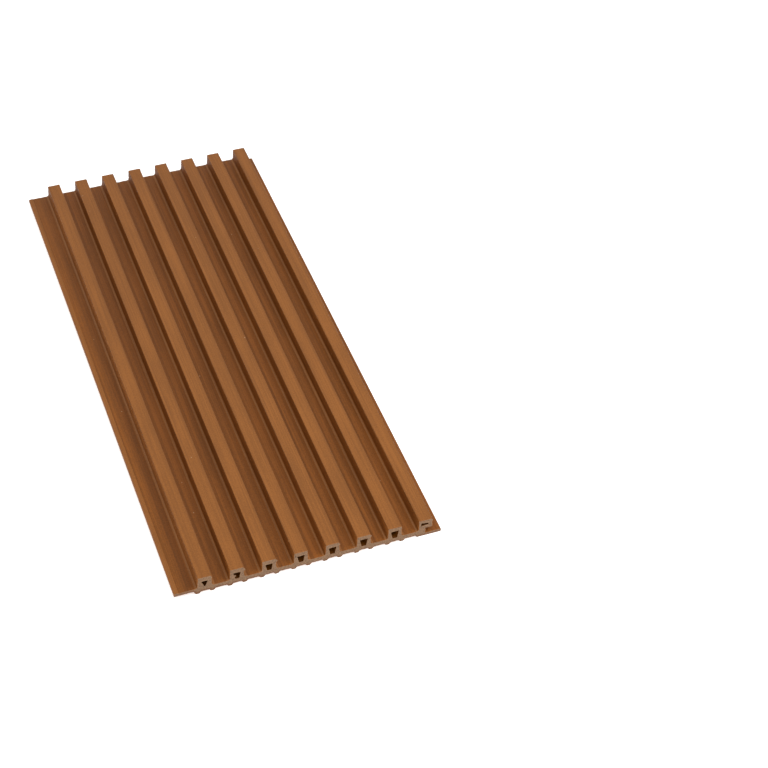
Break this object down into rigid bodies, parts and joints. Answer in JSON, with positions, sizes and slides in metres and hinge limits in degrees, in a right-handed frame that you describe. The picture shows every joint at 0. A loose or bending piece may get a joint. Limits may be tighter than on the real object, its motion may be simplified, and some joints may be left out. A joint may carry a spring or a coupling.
{
  "type": "fluted wall panel",
  "caption": "Extruded composite wall panel with hollow drafted ribs on its face, feet along its back, a flat tongue on one long edge and a hooked groove over a lip on the other.",
  "frame": {"origin": "middle of the panel's outline, in the plane that the back feet stand on", "axes": "+X across the ribs from the tongue to the lip, +Y along the extrusion, +Z out of the ribbed face"},
  "size_m": [0.2036, 0.473, 0.0163],
  "materials": {
    "composite": "brushed wood-brown composite skin, pale saw-cut ends"
  },
  "bodies": {
    "root": {"fluted_panel": "composite"}
  },
  "joints": []
}
